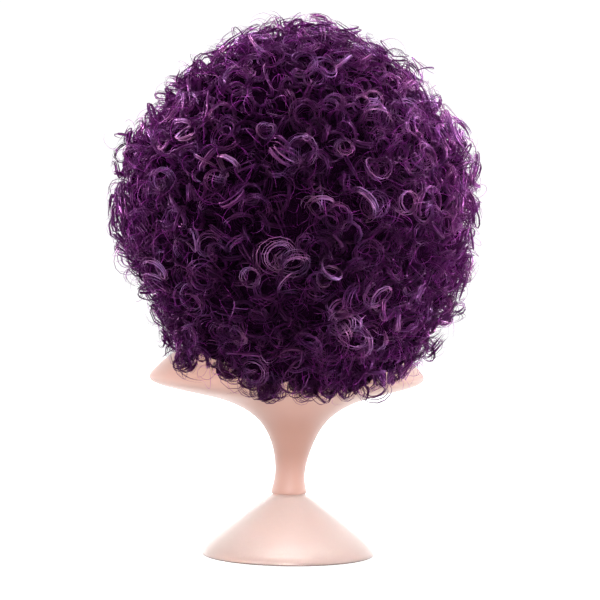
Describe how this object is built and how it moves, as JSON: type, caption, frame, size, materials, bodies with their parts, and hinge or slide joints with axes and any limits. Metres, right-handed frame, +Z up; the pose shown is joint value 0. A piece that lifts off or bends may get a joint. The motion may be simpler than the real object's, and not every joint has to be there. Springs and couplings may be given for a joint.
{
  "type": "curly wig on a pedestal bust stand",
  "caption": "Round wig of tight purple curls sewn in rows to an open head cap, carried by a plain post on a pedestal stand with a stem and low shoulders.",
  "frame": {"origin": "centre of the flat underside of the stand's base", "axes": "+Z up along the stand's stem, -Y towards the face opening of the wig, +Y towards the nape"},
  "size_m": [0.3689, 0.3522, 0.5331],
  "materials": {
    "stand": "smooth satin moulding in a warm skin tone",
    "cap": "dark stretch net",
    "hair": "glossy synthetic fibre in tight curls"
  },
  "bodies": {
    "root": {"stand_base": "stand", "stand_bust": "stand", "stand_post": "stand", "wig_cap": "cap", "hair_crown": "hair", "hair_upper": "hair", "hair_fringe": "hair", "hair_middle": "hair", "hair_lower": "hair", "hair_nape": "hair"}
  },
  "joints": []
}
